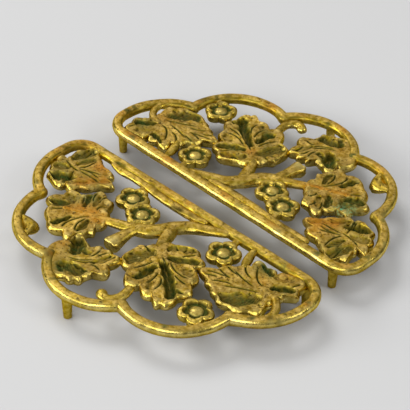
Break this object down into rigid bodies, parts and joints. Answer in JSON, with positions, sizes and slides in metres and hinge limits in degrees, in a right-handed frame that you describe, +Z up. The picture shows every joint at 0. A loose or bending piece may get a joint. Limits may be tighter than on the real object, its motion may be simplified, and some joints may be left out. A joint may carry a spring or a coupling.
{
  "type": "two-piece table trivet",
  "caption": "Pair of half-round openwork brass trivets on pegs, with vine leaves, blossoms and branches in a lobed rail, that close up into one rosette.",
  "frame": {"origin": "on the table, under the middle of the pair's bounding box", "axes": "+Z up, +X along the front half's bar, +Y from the front half to the back half"},
  "size_m": [0.2006, 0.2242, 0.018],
  "materials": {
    "brass": "worn satin, pale where it has been handled",
    "tarnished_brass": "dull brown and green tarnish in the hollows",
    "polished_brass": "rubbed bright"
  },
  "bodies": {
    "front_half": {"front_bar": "brass", "front_lobe_1": "brass", "front_lobe_2": "brass", "front_lobe_3": "brass", "front_lobe_4": "brass", "front_lobe_5": "brass", "front_twig": "brass", "front_branch": "brass", "front_tendril": "polished_brass", "front_rail_bud": "polished_brass", "front_bar_bud": "polished_brass", "front_stem": "brass", "front_leaf_1": "tarnished_brass", "front_leaf_2": "tarnished_brass", "front_leaf_3": "tarnished_brass", "front_leaf_4": "tarnished_brass", "front_leaf_5": "tarnished_brass", "front_flower_1": "polished_brass", "front_flower_2": "polished_brass", "front_flower_3": "polished_brass", "front_flower_4": "polished_brass", "front_foot_left": "brass", "front_foot_right": "brass", "front_foot_lobe": "brass"},
    "back_half": {"back_bar": "brass", "back_lobe_1": "brass", "back_lobe_2": "brass", "back_lobe_3": "brass", "back_lobe_4": "brass", "back_lobe_5": "brass", "back_twig": "brass", "back_branch": "brass", "back_tendril": "polished_brass", "back_rail_bud": "polished_brass", "back_bar_bud": "polished_brass", "back_stem": "brass", "back_leaf_1": "tarnished_brass", "back_leaf_2": "tarnished_brass", "back_leaf_3": "tarnished_brass", "back_leaf_4": "tarnished_brass", "back_leaf_5": "tarnished_brass", "back_flower_1": "polished_brass", "back_flower_2": "polished_brass", "back_flower_3": "polished_brass", "back_flower_4": "polished_brass", "back_foot_left": "brass", "back_foot_right": "brass", "back_foot_lobe": "brass"}
  },
  "joints": [
    {"name": "pair_slide", "type": "slide", "parent": "front_half", "child": "back_half", "axis": [0, 1, 0], "range_m": [-0.0114, 0.1]}
  ]
}
